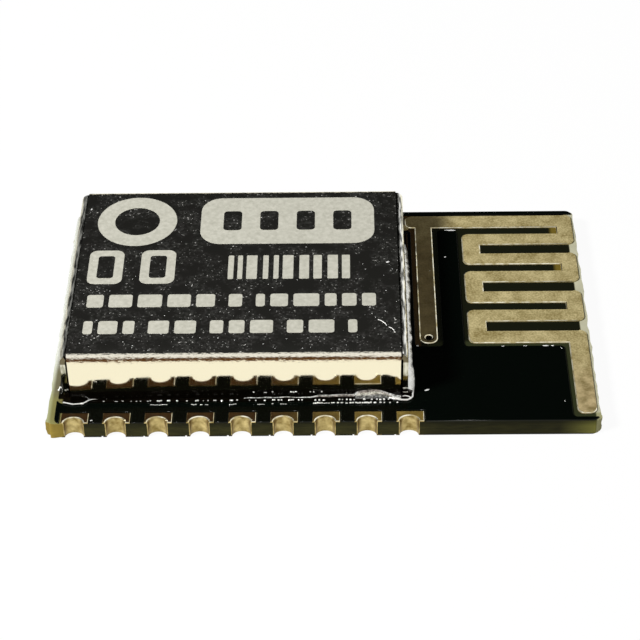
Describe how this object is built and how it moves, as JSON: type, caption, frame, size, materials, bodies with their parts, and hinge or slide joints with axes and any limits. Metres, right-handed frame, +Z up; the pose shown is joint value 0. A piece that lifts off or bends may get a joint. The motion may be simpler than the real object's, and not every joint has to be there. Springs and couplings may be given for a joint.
{
  "type": "wifi module",
  "caption": "Flat radio board with plated half holes along both long edges, a folded metal shield can and a meander trace antenna beside it.",
  "frame": {"origin": "centre of the underside, on the plane that the soldered lands share", "axes": "+X along the board from the shield can towards the antenna, +Y from the front row of pads to the back row, +Z up out of the shield can"},
  "size_m": [0.0198, 0.0122, 0.0026],
  "materials": {
    "laminate": "olive glass cloth and epoxy laminate, raw at the cut edges",
    "solder_mask": "glossy black solder mask",
    "gold_plate": "thin matt gold over copper",
    "copper": "bare copper foil",
    "can_sheet": "bright plated sheet with a mirror finish",
    "solder": "bright reflowed tin solder",
    "tin_plate": "matt tin plate",
    "chip_moulding": "black moulded epoxy",
    "crystal_ceramic": "dark alumina ceramic",
    "crystal_metal": "nickel plated lid",
    "capacitor_ceramic": "tan fired ceramic",
    "inductor_ceramic": "pale fired ceramic",
    "resistor_ceramic": "black glazed resistor film"
  },
  "bodies": {
    "root": {"laminate_core": "laminate", "top_solder_mask": "solder_mask", "bottom_solder_mask": "solder_mask", "antenna_trace": "gold_plate", "antenna_via": "gold_plate", "rf_feed_line": "copper", "ground_foil": "copper", "ground_vias": "copper", "component_lands": "gold_plate", "shield_land": "gold_plate", "front_pad_1": "gold_plate", "front_pad_2": "gold_plate", "front_pad_3": "gold_plate", "front_pad_4": "gold_plate", "front_pad_5": "gold_plate", "front_pad_6": "gold_plate", "front_pad_7": "gold_plate", "front_pad_8": "gold_plate", "front_pad_9": "gold_plate", "back_pad_1": "gold_plate", "back_pad_2": "gold_plate", "back_pad_3": "gold_plate", "back_pad_4": "gold_plate", "back_pad_5": "gold_plate", "back_pad_6": "gold_plate", "back_pad_7": "gold_plate", "back_pad_8": "gold_plate", "shield_can": "can_sheet", "shield_solder_front": "solder", "shield_solder_right": "solder", "shield_solder_back": "solder", "shield_solder_left": "solder", "component_solder": "solder", "radio_chip": "chip_moulding", "radio_chip_leads": "tin_plate", "radio_chip_pad": "tin_plate", "crystal_case": "crystal_ceramic", "crystal_lid": "crystal_metal", "crystal_terminals": "gold_plate", "capacitor_1": "capacitor_ceramic", "capacitor_2": "capacitor_ceramic", "capacitor_3": "capacitor_ceramic", "capacitor_4": "capacitor_ceramic", "capacitor_5": "capacitor_ceramic", "capacitor_6": "capacitor_ceramic", "capacitor_ends": "tin_plate", "inductor_1": "inductor_ceramic", "inductor_2": "inductor_ceramic", "inductor_ends": "tin_plate", "resistor_1": "resistor_ceramic", "resistor_2": "resistor_ceramic", "resistor_3": "resistor_ceramic", "resistor_ends": "tin_plate"}
  },
  "joints": []
}
